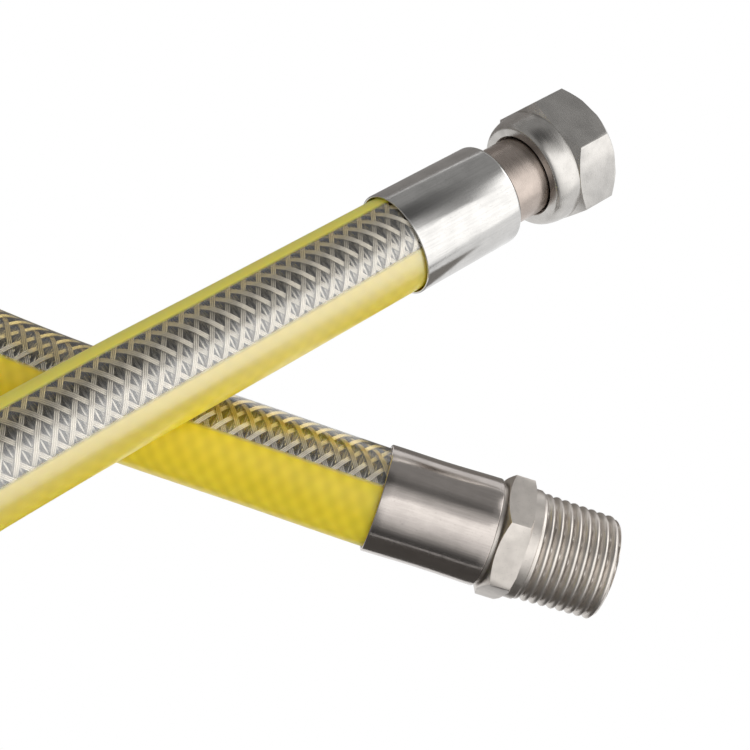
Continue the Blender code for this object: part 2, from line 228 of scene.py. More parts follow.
class HoseSizes(bpy.types.PropertyGroup):
    hose_diameter: length_property("Hose diameter", "Outside of the sheath", 0.0198)
    window_width: angle_property("Clear window", "Angle of the sheath that is clear", 69.5)
    window_at_nut_end: angle_property(
        "Window at the nut end", "Middle of the window, from the side seen", 15.5)
    window_at_thread_end: angle_property(
        "Window at the thread end", "Middle of the window, from the side seen", 47.5)
    bundles: bpy.props.IntProperty(
        name="Bundles", description="Wire bundles of each hand", default=12)
    braid_pitch: length_property(
        "Braid pitch", "Distance along the hose from bundle to bundle", 0.00330)
    braid_radius: length_property("Braid radius", "Middle of the two layers of bundles", 0.00932)
    braid_wave: length_property(
        "Braid wave", "How far a bundle rises and dips at the crossings", 0.00024)
    bundle_width: length_property("Bundle width", "Width of one bundle of wires", 0.00100)
    wires: bpy.props.IntProperty(
        name="Wires", description="Wires lying side by side in a bundle", default=3)
    row_at_nut_end: angle_property(
        "Crossing row at the nut end", "First row of crossings, from the side seen", -8.5)
    row_at_thread_end: angle_property(
        "Crossing row at the thread end", "First row of crossings, from the side seen", 23.4)
    crossing_at_nut_end: length_property(
        "Crossing at the nut end", "Distance along the hose of one crossing", 0.07129)
    crossing_at_thread_end: length_property(
        "Crossing at the thread end", "Distance along the hose of one crossing", 0.8793)
    tube_radius: length_property("Tube radius", "Crests of the corrugated tube", 0.00885)
    tube_depth: length_property("Corrugation depth", "From crest to trough", 0.0009)


class FittingSizes(bpy.types.PropertyGroup):
    ferrule_diameter: length_property("Ferrule diameter", "Outside of both ferrules", 0.0214)
    ferrule_wall: length_property("Ferrule wall", "Thickness of the steel", 0.0005)
    nut_end_ferrule: length_property("Nut end ferrule", "Its length", 0.0250)
    thread_end_ferrule: length_property("Thread end ferrule", "Its length", 0.0226)
    spigot_diameter: length_property("Spigot diameter", "Spigots inside the tube", 0.0106)
    gas_way: length_property("Gas way", "Bore of the spigots", 0.0090)
    collar_diameter: length_property("Collar diameter", "Collars inside the ferrules", 0.0198)
    tail_diameter: length_property("Tail diameter", "Swivel tail", 0.0168)
    flange_diameter: length_property("Flange diameter", "Flange inside the nut", 0.0184)
    nut_across_flats: length_property("Nut across flats", "Union nut", 0.0245)
    nut_length: length_property("Nut length", "Union nut", 0.0152)
    hexagon_across_flats: length_property("Hexagon across flats", "Threaded end", 0.0220)
    hexagon_length: length_property("Hexagon length", "Threaded end", 0.0054)
    thread_pitch: length_property("Thread pitch", "Fourteen threads an inch", 0.0254 / 14, precision=5)
    thread_depth: length_property("Thread depth", "From crest to root", 0.00090, precision=5)


class Colours(bpy.types.PropertyGroup):
    yellow: colour_property("Yellow sheath", "Opaque side of the sheath", (0.86, 0.69, 0.030))
    under_skin: colour_property(
        "Yellow under the clear skin", "Where the clear plastic runs over the yellow", (0.60, 0.49, 0.13))
    # Painted light: a paler yellow painted along the top edge of the nut end's strand
    pale_edge: colour_property(
        "Pale yellow edge", "Narrow yellow side of the window", (1.0, 0.84, 0.13))
    golden: colour_property("Golden tint", "Clear plastic beside the yellow", (0.94, 0.83, 0.44))
    wire: colour_property("Braid wire", "Bright stainless wire", (0.94, 0.87, 0.76))
    tube: colour_property("Corrugated tube", "Formed stainless steel", (0.58, 0.54, 0.48))
    ferrule: colour_property("Ferrule steel", "Drawn stainless steel", (0.66, 0.65, 0.635))
    warm_ferrule: colour_property(
        "Thread end ferrule steel", "Drawn stainless steel, a little browned", (0.54, 0.495, 0.465))
    fitting: colour_property("Fitting steel", "Turned stainless steel", (0.60, 0.58, 0.555))
    nipple: colour_property("Nipple steel", "Threaded end, a little browned", (0.70, 0.655, 0.61))
    tail: colour_property("Tail steel", "Swivel tail, a little browned", (0.50, 0.43, 0.385))
    fibre: colour_property("Washer fibre", "Pressed fibre", (0.07, 0.16, 0.09))


class Studio(bpy.types.PropertyGroup):
    sky: bpy.props.FloatProperty(
        name="Sky", description="Strength of the grey surroundings", default=0.34)
    softbox: bpy.props.FloatProperty(
        name="Softbox", description="Strength of the large softbox", default=1.32)
    glow: bpy.props.FloatProperty(
        name="Glow", description="Strength of the glows beside the softbox", default=1.0)


class Socket:
    """A number in a material, on which plain arithmetic adds Math nodes."""

    def __init__(self, finish, link):
        self.finish = finish
        self.link = link

    def _maths(self, operation, first, second=None):
        inputs = {0: first}
        if second is not None:
            inputs[1] = second
        return self.finish.node("ShaderNodeMath", {"operation": operation}, inputs)

    def __add__(self, other):
        return self._maths("ADD", self, other)

    def __radd__(self, other):
        return self._maths("ADD", other, self)

    def __sub__(self, other):
        return self._maths("SUBTRACT", self, other)

    def __rsub__(self, other):
        return self._maths("SUBTRACT", other, self)

    def __mul__(self, other):
        return self._maths("MULTIPLY", self, other)

    def __rmul__(self, other):
        return self._maths("MULTIPLY", other, self)

    def sine(self):
        return self._maths("SINE", self)

    def ramp(self, low, high):
        """0 below low, 1 above high, smooth between them."""
        return self.finish.node("ShaderNodeMapRange", {"interpolation_type": "SMOOTHSTEP"},
                                {"Value": self, "From Min": low, "From Max": high})


class Finish:
    """A material that is built node by node."""

    def __init__(self, name, blocks=None, output="ShaderNodeOutputMaterial"):
        self.material = (bpy.data.materials if blocks is None else blocks).new(name)
        self.material.use_nodes = True
        self.nodes = self.material.node_tree.nodes
        self.links = self.material.node_tree.links
        self.nodes.clear()
        self.output = self.nodes.new(output)

    def node(self, kind, settings=None, inputs=None, output=0):
        """Adds a node of a kind, with its settings and the values or links of its sockets."""
        made = self.nodes.new(kind)
        for name, value in (settings or {}).items():
            setattr(made, name, value)
        for name, value in (inputs or {}).items():
            if isinstance(value, Socket):
                self.links.new(value.link, made.inputs[name])
            elif made.inputs[name].type == "RGBA" and len(value) == 3:
                made.inputs[name].default_value = (*value, 1.0)
            else:
                made.inputs[name].default_value = value
        return Socket(self, made.outputs[output])

    def object_place(self):
        return self.node("ShaderNodeTexCoord", output="Object")

    def attribute(self, name):
        return self.node("ShaderNodeAttribute", {"attribute_name": name}, output="Fac")

    def mapped(self, place, rotation=(0, 0, 0), scale=(1, 1, 1)):
        return self.node("ShaderNodeMapping", {"vector_type": "POINT"},
                         {"Vector": place, "Rotation": rotation, "Scale": scale})

    def noise(self, place, scale, detail=3.0, roughness=0.5):
        return self.node("ShaderNodeTexNoise", None,
                         {"Vector": place, "Scale": scale, "Detail": detail, "Roughness": roughness})

    def blend(self, share, first, second):
        """A colour between two colours."""
        return self.node("ShaderNodeMix", {"data_type": "RGBA"}, {0: share, 6: first, 7: second}, output=2)

    def towards(self, direction, axis, low, high):
        """How much a direction points along an axis, between two cosines of the angle."""
        cosine = self.node("ShaderNodeVectorMath", {"operation": "DOT_PRODUCT"},
                           {0: direction, 1: tuple(axis)}, output="Value")
        return cosine.ramp(low, high)

    def bump(self, height, strength, distance):
        return self.node("ShaderNodeBump", None,
                         {"Height": height, "Strength": strength, "Distance": distance})

    def principled(self, **inputs):
        names = {name.replace("_", " "): value for name, value in inputs.items()}
        return self.node("ShaderNodeBsdfPrincipled", None, names)

    def mix_shader(self, share, first, second):
        return self.node("ShaderNodeMixShader", None, {0: share, 1: first, 2: second})

    def finish(self, shader):
        self.links.new(shader.link, self.output.inputs["Surface"])
        return self.material


def strand_frame(heading, drop, height, mouth):
    """Matrix at a ferrule's mouth, +Z along the strand away from the crossing, +X nearest to up."""
    along = Vector((math.cos(drop) * math.cos(heading), math.cos(drop) * math.sin(heading),
                    -math.sin(drop)))
    up = (Vector((0, 0, 1)) - along.z * along).normalized()
    side = along.cross(up)
    place = Matrix((up, side, along)).transposed().to_4x4()
    place.translation = CROSSING + Vector((0, 0, height)) + along * mouth
    return place


def nut_end():
    """The frame at the mouth of the nut end's ferrule."""
    return strand_frame(STRAND_HALF_ANGLE, NUT_END_DROP, NUT_END_HEIGHT, NUT_END_MOUTH)


def thread_end():
    """The frame at the mouth of the thread end's ferrule."""
    height = bpy.context.scene.gas_hose_fittings.hexagon_across_flats / math.sqrt(3)
    return strand_frame(-STRAND_HALF_ANGLE, 0.0, height, THREAD_END_MOUTH)


def camera_place():
    """The camera's position and its right, up and backward directions."""
    elevation = CAMERA_ELEVATION
    forward = Vector((0, math.cos(elevation), -math.sin(elevation)))
    right = Vector((1, 0, 0))
    up = Vector((0, math.sin(elevation), math.cos(elevation)))
    cos_roll, sin_roll = math.cos(CAMERA_ROLL), math.sin(CAMERA_ROLL)
    right, up = cos_roll * right + sin_roll * up, cos_roll * up - sin_roll * right
    position = CAMERA_TARGET - CAMERA_DISTANCE * forward
    turn = Matrix.Rotation(CAMERA_HEADING, 3, "Z")
    return turn @ position + CROSSING, turn @ right, turn @ up, -(turn @ forward)


def smooth_curve(points, count):
    """Reads count points, evenly spaced, from a smooth curve through the given points."""
    ends = [2 * points[0] - points[1]] + points + [2 * points[-1] - points[-2]]
    fine = []
    for i in range(1, len(ends) - 2):
        p0, p1, p2, p3 = ends[i - 1:i + 3]
        m1 = (p2 - p0) * ((p2 - p1).length / ((p2 - p1).length + (p1 - p0).length))
        m2 = (p3 - p1) * ((p2 - p1).length / ((p3 - p2).length + (p2 - p1).length))
        for step in range(CURVE_STEPS):
            t = step / CURVE_STEPS
            fine.append((2 * t**3 - 3 * t**2 + 1) * p1 + (t**3 - 2 * t**2 + t) * m1
                        + (3 * t**2 - 2 * t**3) * p2 + (t**3 - t**2) * m2)
    fine.append(points[-1].copy())
    places = np.array([tuple(point) for point in fine])
    steps = np.linalg.norm(np.diff(places, axis=0), axis=1)
    lengths = np.concatenate([[0.0], np.cumsum(steps)])
    wanted = np.linspace(0.0, lengths[-1], count)
    return wanted, np.stack([np.interp(wanted, lengths, places[:, k]) for k in range(3)], axis=1)


class HoseLine:
    """The hose's centre line with a frame that doesn't twist, and where the camera sees it from."""

    def __init__(self, count=LINE_POINTS):
        nut, thread = nut_end(), thread_end()
        depths = (HOSE_IN_FERRULE, 0.0)
        points = [nut @ Vector((0, 0, depth)) for depth in depths]
        points += [CROSSING + Vector(point) for point in ROUTE]
        points += [thread @ Vector((0, 0, depth)) for depth in reversed(depths)]
        self.lengths, self.places = smooth_curve(points, count)
        self.total = self.lengths[-1]
        # The curve is read as short straight lines, so its directions are smoothed
        window = max(3, int(count * SMOOTHED_LENGTH / self.total) | 1)
        raw = np.gradient(self.places, axis=0)
        padded = np.pad(raw, ((window // 2, window // 2), (0, 0)), mode="edge")
        along = np.stack([np.convolve(padded[:, k], np.ones(window) / window, "valid")
                          for k in range(3)], axis=1)
        self.along = along / np.linalg.norm(along, axis=1, keepdims=True)
        first = np.empty_like(self.along)
        side = np.cross(self.along[0], (0.0, 0.0, 1.0))
        side /= np.linalg.norm(side)
        for i, direction in enumerate(self.along):
            side = side - np.dot(side, direction) * direction
            side /= np.linalg.norm(side)
            first[i] = side
        self.first = first
        self.second = np.cross(self.along, first)

    def read(self, values, lengths):
        return np.stack([np.interp(lengths, self.lengths, values[:, k]) for k in range(3)], axis=-1)

    def surface(self, lengths, angles, radii):
        """Points at a distance along the hose, an angle round it and a radius."""
        return (self.read(self.places, lengths)
                + (radii * np.cos(angles))[..., None] * self.read(self.first, lengths)
                + (radii * np.sin(angles))[..., None] * self.read(self.second, lengths))

    def seen_from(self, station):
        """Angle of the side that faces the camera, and the sense in which angles run up the picture."""
        position, _, up, _ = camera_place()
        place = Vector(self.read(self.places, np.array([station]))[0])
        first = Vector(self.read(self.first, np.array([station]))[0])
        second = Vector(self.read(self.second, np.array([station]))[0])
        towards = position - place
        facing = math.atan2(towards.dot(second), towards.dot(first))
        rising = -math.sin(facing) * first + math.cos(facing) * second
        return facing, (1.0 if rising.dot(up) > 0 else -1.0)


class BraidPlan:
    """Where the clear window, the rows of crossings and the bundles run along the hose."""

    def __init__(self, line, sizes):
        self.line = line
        self.sizes = sizes
        near, self.sense = line.seen_from(NUT_END_STATION)
        far, self.far_sense = line.seen_from(THREAD_END_STATION)
        self.row = math.pi / sizes.bundles
        stations = (NUT_END_STATION, THREAD_END_STATION)
        self.window = self._between(stations, near + self.sense * sizes.window_at_nut_end,
                                    far + self.far_sense * sizes.window_at_thread_end, math.tau)
        self.first_row = self._between(stations, near + self.sense * sizes.row_at_nut_end,
                                       far + self.far_sense * sizes.row_at_thread_end, 4 * self.row)
        # Whole pitches between the two crossings that were set
        start, end = sizes.crossing_at_nut_end, sizes.crossing_at_thread_end
        pitch, reach, spare = sizes.braid_pitch, EXACT_PITCH_REACH, 0.01
        pitches = round((end - start) / pitch)
        self.phase = (
            np.array([-spare, start + reach, end - reach, line.total + spare]),
            np.array([(-spare - start) / pitch, reach / pitch, pitches - reach / pitch,
                      pitches + (line.total + spare - end) / pitch]))

    @staticmethod
    def _between(stations, near, far, period):
        far -= period * round((far - near) / period)
        slope = (far - near) / (stations[1] - stations[0])
        return lambda lengths: near + slope * (lengths - stations[0])

    def bundle(self, hand, number, start, end, steps_a_row):
        """Lengths, angles and radii along one bundle between two lengths of the hose."""
        sizes = self.sizes
        low = np.interp(start, *self.phase)
        high = np.interp(end, *self.phase)
        count = max(2, int(round((high - low) * 2 * steps_a_row)) + 1)
        phases = np.linspace(low, high, count)
        lengths = np.interp(phases, self.phase[1], self.phase[0])
        rows = 2 * number - 2 * hand * phases
        angles = self.first_row(lengths) + self.sense * rows * self.row
        wave = np.clip(WAVE_STEEPNESS * np.cos(math.pi * (rows - 0.5) / 2), -1, 1)
        return lengths, angles, sizes.braid_radius + hand * sizes.braid_wave * wave


def mesh_object(name, places, faces):
    """A smooth piece from its points and faces."""
    mesh = bpy.data.meshes.new(name)
    mesh.from_pydata(np.asarray(places).tolist(), [], faces)
    mesh.update()
    mesh.shade_smooth()
    made = bpy.data.objects.new(name, mesh)
    bpy.context.scene.collection.objects.link(made)
    return made


def strip_faces(rows, columns, offset=0):
    """Faces of a closed tube of rows by columns, with both ends capped."""
    row = np.arange(rows - 1)[:, None] * columns
    column = np.arange(columns)[None, :]
    following = (column + 1) % columns
    quads = np.stack([row + column, row + following, row + columns + following, row + columns + column],
                     axis=-1).reshape(-1, 4) + offset
    faces = quads.tolist()
    faces.append([offset + c for c in reversed(range(columns))])
    faces.append([offset + (rows - 1) * columns + c for c in range(columns)])
    return faces


def outward(piece):
    """Turns all faces of a piece outwards."""
    bm = bmesh.new()
    bm.from_mesh(piece.data)
    bmesh.ops.recalc_face_normals(bm, faces=bm.faces)
    bm.to_mesh(piece.data)
    bm.free()


def tube_along(name, line, lengths, radii, columns):
    """A tube round the hose's line, with a radius at each length."""
    angles = np.linspace(0.0, math.tau, columns, endpoint=False)
    grid = line.surface(lengths[:, None] + 0 * angles, angles[None, :] + 0 * lengths[:, None],
                        radii[:, None] + 0 * angles)
    piece = mesh_object(name, grid.reshape(-1, 3), strip_faces(len(lengths), columns))
    outward(piece)
    return piece, angles


def straight_ramp(values, low, high):
    """0 below low, 1 above high, straight between them."""
    return np.clip((values - low) / (high - low), 0, 1)


def ride(piece, body, slot, material, *nodes):
    """Dresses a piece and says what it rides on and stands for."""
    piece.data.materials.clear()
    piece.data.materials.append(material)
    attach(piece, body)
    if nodes:
        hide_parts(*nodes)


def give_values(piece, **values):
    """Gives a piece named values, one for each of its points, which its material reads."""
    for name, numbers in values.items():
        layer = piece.data.attributes.new(name, "FLOAT", "POINT")
        layer.data.foreach_set("value", numbers.astype(np.float32).ravel())


def shaded(colour, level):
    """A colour at a share of its strength."""
    return tuple(level * value for value in colour)


def sheath_plastic(colours):
    """Glossy plastic, yellow on one side and clear on the other."""
    finish = Finish("sheath_plastic")
    place = finish.object_place()
    away = finish.attribute("from_window")
    along = finish.attribute("braid_phase")
    round_it = finish.attribute("braid_row")
    print_through = (((along + round_it) * math.tau).sine() * 0.35
                     + ((along - round_it) * math.tau).sine() * 0.65)
    uneven = finish.noise(place, scale=260.0, detail=2.0)
    # Painted light: the top yellow edge of the nut end's strand is painted paler
    pale_edge = finish.attribute("pale_edge")
    yellow_level = (0.5 + print_through * 0.22 + (uneven - 0.5) * 0.5).ramp(0.0, 1.0)
    deep = shaded(colours.yellow, 0.86)
    pale = tuple(min(1.0, more * value) for more, value in zip((1.07, 1.08, 1.5), colours.yellow))
    gloss_bump = finish.bump(uneven + print_through * 0.3, strength=0.10, distance=0.0004)
    skin = finish.attribute("clear_skin")
    plain = finish.blend(pale_edge, finish.blend(yellow_level, deep, pale), tuple(colours.pale_edge))
    body = finish.blend(skin * 0.75, plain, tuple(colours.under_skin))
    yellow = finish.principled(
        Base_Color=body, Roughness=0.36, IOR=1.5, Coat_Weight=skin, Coat_IOR=2.5, Coat_Roughness=0.30,
        Subsurface_Weight=0.75, Subsurface_Radius=(0.006, 0.0045, 0.0010), Subsurface_Scale=1.0,
        Normal=gloss_bump)
    clear = finish.node("ShaderNodeBsdfTransparent", None, {"Color": (0.95, 0.95, 0.93)})
    golden = finish.node("ShaderNodeBsdfTransparent", None, {"Color": tuple(colours.golden)})
    gloss = finish.node("ShaderNodeBsdfGlossy", None,
                        {"Color": WHITE, "Roughness": 0.24, "Normal": gloss_bump})
    outside = 1 - finish.node("ShaderNodeNewGeometry", output="Backfacing")
    shine = finish.node("ShaderNodeFresnel", None, {"IOR": 2.8}) * outside
    window = finish.mix_shader(shine, finish.mix_shader(finish.attribute("tint"), clear, golden), gloss)
    return finish.finish(finish.mix_shader(away.ramp(0.93, 1.13), window, yellow))


def braid_wire(colours):
    """Bright wire with painted shade: darker between other wires and under them."""
    finish = Finish("braid_wire")
    place = finish.object_place()
    grime = finish.noise(place, scale=900.0)
    colour = finish.blend(grime.ramp(0.35, 0.75), tuple(colours.wire), shaded(colours.wire, 0.8))
    drawing = finish.noise(place, scale=5200.0, detail=1.0)
    # The painted shade of each point darkens the wire colour towards a fifth of it
    return finish.finish(finish.principled(
        Base_Color=finish.blend(finish.attribute("shelter"), colour, shaded(colours.wire, 0.20)),
        Metallic=0.70, Roughness=0.26,
        Normal=finish.bump(drawing, strength=0.15, distance=0.0001)))


def corrugated_steel(colours):
    """Mottled steel of the thin formed tube."""
    finish = Finish("corrugated_steel")
    place = finish.object_place()
    mottle = finish.noise(place, scale=700.0)
    colour = finish.blend(mottle, shaded(colours.tube, 0.55), tuple(colours.tube))
    return finish.finish(finish.principled(
        Base_Color=colour, Metallic=1.0, Roughness=0.27,
        Normal=finish.bump(mottle, strength=0.2, distance=0.0002)))


def drawn_steel(steel, name, turn):
    """Bright drawn steel with fine lines along the strand and small pits."""
    finish = Finish(name)
    place = finish.object_place()
    lengthwise = finish.mapped(finish.mapped(place, rotation=turn), scale=(1.0, 1.0, 0.06))
    lines = finish.noise(lengthwise, scale=2600.0, detail=2.0)
    pits = finish.noise(place, scale=3000.0, detail=2.0, roughness=0.7)
    cloud = finish.noise(place, scale=240.0)
    dull = finish.blend((cloud * 0.6 + lines * 0.4).ramp(0.3, 0.75), tuple(steel), shaded(steel, 0.82))
    colour = finish.blend(pits.ramp(0.62, 0.75) * 0.5, dull, shaded(steel, 0.45))
    return finish.finish(finish.principled(
        Base_Color=colour, Metallic=1.0, Roughness=0.09 + cloud * 0.14,
        Normal=finish.bump(lines * 0.5 + pits * 0.5, strength=0.10, distance=0.0001)))


def turned_steel(steel, name, turn, roughness=0.20):
    """Turned steel with tool marks round the axis."""
    finish = Finish(name)
    place = finish.object_place()
    crosswise = finish.mapped(finish.mapped(place, rotation=turn), scale=(0.05, 0.05, 1.0))
    marks = finish.noise(crosswise, scale=5200.0, detail=2.0)
    cloud = finish.noise(place, scale=300.0)
    specks = finish.noise(place, scale=2600.0, detail=2.0, roughness=0.7)
    plain = finish.blend(cloud.ramp(0.3, 0.8), tuple(steel), shaded(steel, 0.80))
    colour = finish.blend(specks.ramp(0.60, 0.75) * 0.4, plain, shaded(steel, 0.5))
    return finish.finish(finish.principled(
        Base_Color=colour, Metallic=1.0, Roughness=roughness + marks * 0.14,
        Normal=finish.bump(marks * 0.7 + specks * 0.3, strength=0.14, distance=0.0001)))


def pressed_fibre(colours):
    """Matt fibre of the washer."""
    finish = Finish("pressed_fibre")
    place = finish.object_place()
    fibres = finish.noise(place, scale=1900.0, detail=4.0, roughness=0.7)
    colour = finish.blend(fibres, shaded(colours.fibre, 0.6), shaded(colours.fibre, 1.5))
    return finish.finish(finish.principled(
        Base_Color=colour, Roughness=0.8, Normal=finish.bump(fibres, strength=0.4, distance=0.0002)))


def axis_turn(place):
    """Mapping rotation that lays a strand's axis on Z."""
    return tuple(place.to_3x3().inverted().to_euler())


def turned(name, profile, segments=TURNED_SEGMENTS):
    """Turns a closed profile of (radius, height) points, ring by ring, round +Z."""
    bpy.ops.object.select_all(action="DESELECT")
    radius, height = profile[0]
    bpy.ops.mesh.primitive_circle_add(vertices=segments, radius=radius, location=(0, 0, height))
    piece = bpy.context.object
    piece.name = name
    piece.data.name = name
    bpy.ops.object.transform_apply(location=True, rotation=True, scale=True)
    bpy.ops.object.mode_set(mode="EDIT")
    bpy.ops.mesh.select_all(action="SELECT")
    for (radius, height), (next_radius, next_height) in zip(profile, profile[1:]):
        bpy.ops.mesh.extrude_edges_move(TRANSFORM_OT_translate={"value": (0, 0, next_height - height)})
        ratio = next_radius / radius
        bpy.ops.transform.resize(value=(ratio, ratio, 1), center_override=(0, 0, next_height))
    bpy.ops.mesh.select_all(action="DESELECT")
    bpy.ops.mesh.select_non_manifold()
    bpy.ops.mesh.bridge_edge_loops()
    bpy.ops.mesh.select_all(action="SELECT")
    bpy.ops.mesh.normals_make_consistent(inside=False)
    bpy.ops.object.mode_set(mode="OBJECT")
    return piece


def arc(centre, radii, start, end, steps):
    """Points (radius, height) on part of an ellipse, from start to end in degrees."""
    angles = [math.radians(start + (end - start) * i / steps) for i in range(steps + 1)]
    return [(centre[0] + radii[0] * math.cos(a), centre[1] + radii[1] * math.sin(a)) for a in angles]


def settle(piece, place):
    """Puts a piece that was made on the origin in its place, with smooth shading."""
    piece.matrix_world = place
    bpy.ops.object.select_all(action="DESELECT")
    piece.select_set(True)
    bpy.context.view_layer.objects.active = piece
    bpy.ops.object.transform_apply(location=True, rotation=True, scale=True)
    bpy.ops.object.shade_smooth_by_angle(angle=SMOOTH_ANGLE)
    return piece


def hexagonal(piece, across_flats, low, high, turn):
    """Cuts six flats on a turned piece, between two heights."""
    bpy.ops.object.select_all(action="DESELECT")
    bpy.ops.mesh.primitive_cylinder_add(vertices=6, radius=across_flats / math.sqrt(3),
                                        depth=high - low, location=(0, 0, (high + low) / 2))
    bar = bpy.context.object
    corner = max(bar.data.vertices, key=lambda v: v.co.x + v.co.y / 1000).co
    bar.rotation_euler.z = turn - math.atan2(corner.y, corner.x)
    cut = piece.modifiers.new("flats", "BOOLEAN")
    cut.operation = "INTERSECT"
    cut.solver = "EXACT"
    cut.object = bar
    bpy.context.view_layer.objects.active = piece
    bpy.ops.object.modifier_apply(modifier=cut.name)
    bpy.data.objects.remove(bar, do_unlink=True)


def tooth(phase):
    """Height of a thread between its root, 0, and its rounded crest, 1."""
    return abs(math.cos(math.pi * phase))


def cut_thread(piece, low, high, test, radius_at, pitch):
    """Moves the rings between two heights, whose radius passes a test, onto a helical thread."""
    slack = 1e-6
    for vertex in piece.data.vertices:
        x, y, z = vertex.co
        radius = math.hypot(x, y)
        if low - slack <= z <= high + slack and test(radius):
            wanted = radius_at(z, tooth(z / pitch - math.atan2(y, x) / math.tau))
            vertex.co.x = x * wanted / radius
            vertex.co.y = y * wanted / radius


class GASHOSE_OT_sheath(bpy.types.Operator):
    bl_idname = "gashose.sheath"
    bl_label = "Sheath"

    def execute(self, context):
        sizes = context.scene.gas_hose
        line = HoseLine()
        plan = BraidPlan(line, sizes)
        lengths = np.linspace(0.0, line.total, SHEATH_RINGS)
        radii = np.full(SHEATH_RINGS, sizes.hose_diameter / 2)
        piece, angles = tube_along("sheath", line, lengths, radii, SHEATH_COLUMNS)
        turn = (angles[None, :] - plan.window(lengths)[:, None] + math.pi) % math.tau - math.pi
        across = turn / (sizes.window_width / 2)
        near, far = plan.sense * across, plan.far_sense * across
        # The plastic is tinted beside the yellow, and all over where the window turns from the camera
        nut_share = 1 - straight_ramp(lengths, *TINT_CHANGE)[:, None]
        broad = straight_ramp(far, *BROAD_TINT[:2]) * (1 - straight_ramp(far, *BROAD_TINT[2:]))
        tint = nut_share * straight_ramp(near, *TINT_EDGE) * 0.8 + (1 - nut_share) * broad * 0.75
        # Down the picture the clear plastic runs on over the yellow as a thinning skin
        skin = (1 - straight_ramp(-near, *SKIN_FADE)) * (near < 0)
        row = (angles[None, :] - plan.first_row(lengths)[:, None]) / plan.row * plan.sense
        phase = np.interp(lengths, *plan.phase)[:, None] + 0 * angles[None, :]
        # The top yellow edge of the nut end's strand is marked for painted light, a paler yellow
        give_values(piece, from_window=np.abs(across), tint=tint, clear_skin=skin,
                    pale_edge=nut_share * (near > PAINTED_LIGHT_EDGE_START), braid_phase=phase, braid_row=row / 2)
        ride(piece, "hose_assembly", "sheath", sheath_plastic(context.scene.gas_hose_colours), "hose")
        return {"FINISHED"}


class GASHOSE_OT_corrugated_tube(bpy.types.Operator):
    """Makes the corrugated tube that shows between the wires"""
    bl_idname = "gashose.corrugated_tube"
    bl_label = "Corrugated tube"

    def execute(self, context):
        sizes = context.scene.gas_hose
        line = HoseLine()
        plan = BraidPlan(line, sizes)
        low, high = (np.interp(value, *plan.phase) for value in (0.0, line.total))
        phases = np.linspace(low, high, int((high - low) * TUBE_RINGS_A_PITCH) + 1)
        lengths = np.interp(phases, plan.phase[1], plan.phase[0])
        # Two corrugations to a pitch of the braid, with broad crests
        crest = 0.5 + 0.5 * np.cos(4 * math.pi * phases)
        radii = sizes.tube_radius - sizes.tube_depth * (1 - crest ** 0.8)
        piece, _ = tube_along("corrugated_tube", line, lengths, radii, TUBE_COLUMNS)
        ride(piece, "hose_assembly", "corrugated_tube", corrugated_steel(context.scene.gas_hose_colours))
        return {"FINISHED"}


class GASHOSE_OT_braid(bpy.types.Operator):
    """Braids flat bundles of wire over and under each other along the whole hose"""
    bl_idname = "gashose.braid"
    bl_label = "Wire braid"

    def execute(self, context):
        sizes = context.scene.gas_hose
        plan = BraidPlan(HoseLine(), sizes)
        material = braid_wire(context.scene.gas_hose_colours)
        # The stretches of the braid, with the steps from row to row and the wires of a bundle in each
        runs = [("nut_end", (0.0, LOOP[0]), 3, sizes.wires), ("loop", LOOP, 2, 2),
                ("thread_end", (LOOP[1], plan.line.total), 3, sizes.wires)]
        for place, stretch, steps, wires in runs:
            for hand, name in ((1, "right"), (-1, "left")):
                piece = self.braid(f"braid_{place}_{name}_hand", plan, hand, stretch, steps, wires)
                ride(piece, "hose_assembly", "braid", material)
        return {"FINISHED"}

    def braid(self, name, plan, hand, stretch, steps_a_row, wires):
        """The bundles of one hand along a stretch of the hose, each with a number of wires."""
        sizes, line = plan.sizes, plan.line
        half, wire = sizes.bundle_width / 2, sizes.bundle_width / wires
        points = range(len(WIRE_HEIGHTS) * wires + 1)
        quarter = wire / len(WIRE_HEIGHTS)
        section = [(-half + quarter * k, wire * WIRE_HEIGHTS[k % len(WIRE_HEIGHTS)]) for k in points]
        section += [(edge * half * UNDERSIDE[0], wire * UNDERSIDE[1]) for edge in (1, -1)]
        # Painted shade across a bundle: dark in each groove, faint on the ridges, full on the back
        section_painted_shade = [RIDGE_PAINTED_SHADE if k % len(WIRE_HEIGHTS) else GROOVE_PAINTED_SHADE for k in points] + [1.0, 1.0]
        places, faces, shelter = [], [], []
        for number in range(sizes.bundles):
            lengths, angles, radii = plan.bundle(hand, number, *stretch, steps_a_row)
            middle = line.surface(lengths, angles, radii)
            # A point further out gives the outward direction
            out = line.surface(lengths, angles, 2 * radii) - middle
            out /= np.linalg.norm(out, axis=1, keepdims=True)
            side = np.cross(np.gradient(middle, axis=0), out)
            side /= np.linalg.norm(side, axis=1, keepdims=True)
            rings = np.stack([middle + side * a + out * h for a, h in section], axis=1)
            faces += strip_faces(len(lengths), len(section), sum(len(p) for p in places))
            places.append(rings.reshape(-1, 3))
            # Painted shade: dark in each groove between wires, on the back and where the bundle runs under
            # another
            under = np.clip((sizes.braid_radius - radii) / sizes.braid_wave, 0, 1) * UNDER_PAINTED_SHADE
            shelter.append(np.clip(np.array(section_painted_shade)[None, :] + under[:, None], 0, 1).ravel())
        piece = mesh_object(name, np.concatenate(places), faces)
        give_values(piece, shelter=np.concatenate(shelter))
        outward(piece)
        return piece


